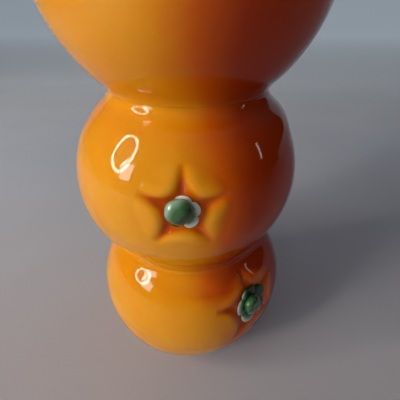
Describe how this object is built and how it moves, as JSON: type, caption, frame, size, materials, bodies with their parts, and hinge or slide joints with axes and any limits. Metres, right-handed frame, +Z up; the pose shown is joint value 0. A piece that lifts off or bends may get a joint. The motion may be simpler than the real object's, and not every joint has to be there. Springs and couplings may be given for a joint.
{
  "type": "stacked ceramic fruit figure",
  "caption": "Free-standing stack of hollow glazed ceramic fruits. Each has a star-shaped hollow with a lobed calyx and a round stalk, and the upper ones lift off locating bosses.",
  "frame": {"origin": "middle of the flat face of the bottom foot ring, on the vertical axis of the stack", "axes": "+Z up the stack, -Y to the front where the middle calyx looks, +X to the viewer's right"},
  "size_m": [0.0754, 0.0754, 0.166],
  "materials": {
    "fruit_glaze": "glossy translucent orange glaze over white earthenware, darker where it pools",
    "calyx_glaze": "glossy green glaze at the middle, running out to bare white at the lobe tips",
    "stalk_glaze": "glossy leaf-green glaze"
  },
  "bodies": {
    "bottom_tier": {"bottom_fruit": "fruit_glaze", "bottom_calyx": "calyx_glaze", "bottom_stalk": "stalk_glaze"},
    "middle_tier": {"middle_fruit": "fruit_glaze", "middle_calyx": "calyx_glaze", "middle_stalk": "stalk_glaze"},
    "top_tier": {"top_fruit": "fruit_glaze", "top_calyx": "calyx_glaze", "top_stalk": "stalk_glaze"}
  },
  "joints": [
    {"name": "middle_lift", "type": "slide", "parent": "bottom_tier", "child": "middle_tier", "axis": [0, 0, 1], "range_m": [0, 0.06]},
    {"name": "top_lift", "type": "slide", "parent": "middle_tier", "child": "top_tier", "axis": [0, 0, 1], "range_m": [0, 0.06]}
  ]
}
